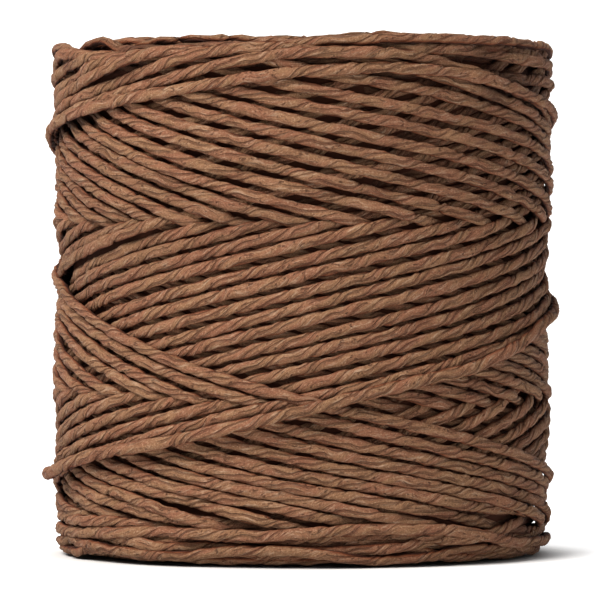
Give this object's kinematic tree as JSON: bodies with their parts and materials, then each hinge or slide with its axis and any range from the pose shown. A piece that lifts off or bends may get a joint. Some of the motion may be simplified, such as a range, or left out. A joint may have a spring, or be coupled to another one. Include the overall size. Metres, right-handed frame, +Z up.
{
  "type": "ball of paper yarn",
  "caption": "Coreless ball of brown two-ply paper yarn, cross-wound into an upright drum with a hole through its middle and a loose cut end on its side.",
  "frame": {"origin": "middle of the base that the ball stands on", "axes": "+Z up along the ball's axis; -Y towards the front, where the loose end crosses the side; +X to the right seen from the front"},
  "size_m": [0.1033, 0.1021, 0.101],
  "materials": {
    "paper_yarn": "matt twisted paper"
  },
  "bodies": {
    "root": {"wound_ball": "paper_yarn", "loose_end": "paper_yarn"}
  },
  "joints": []
}
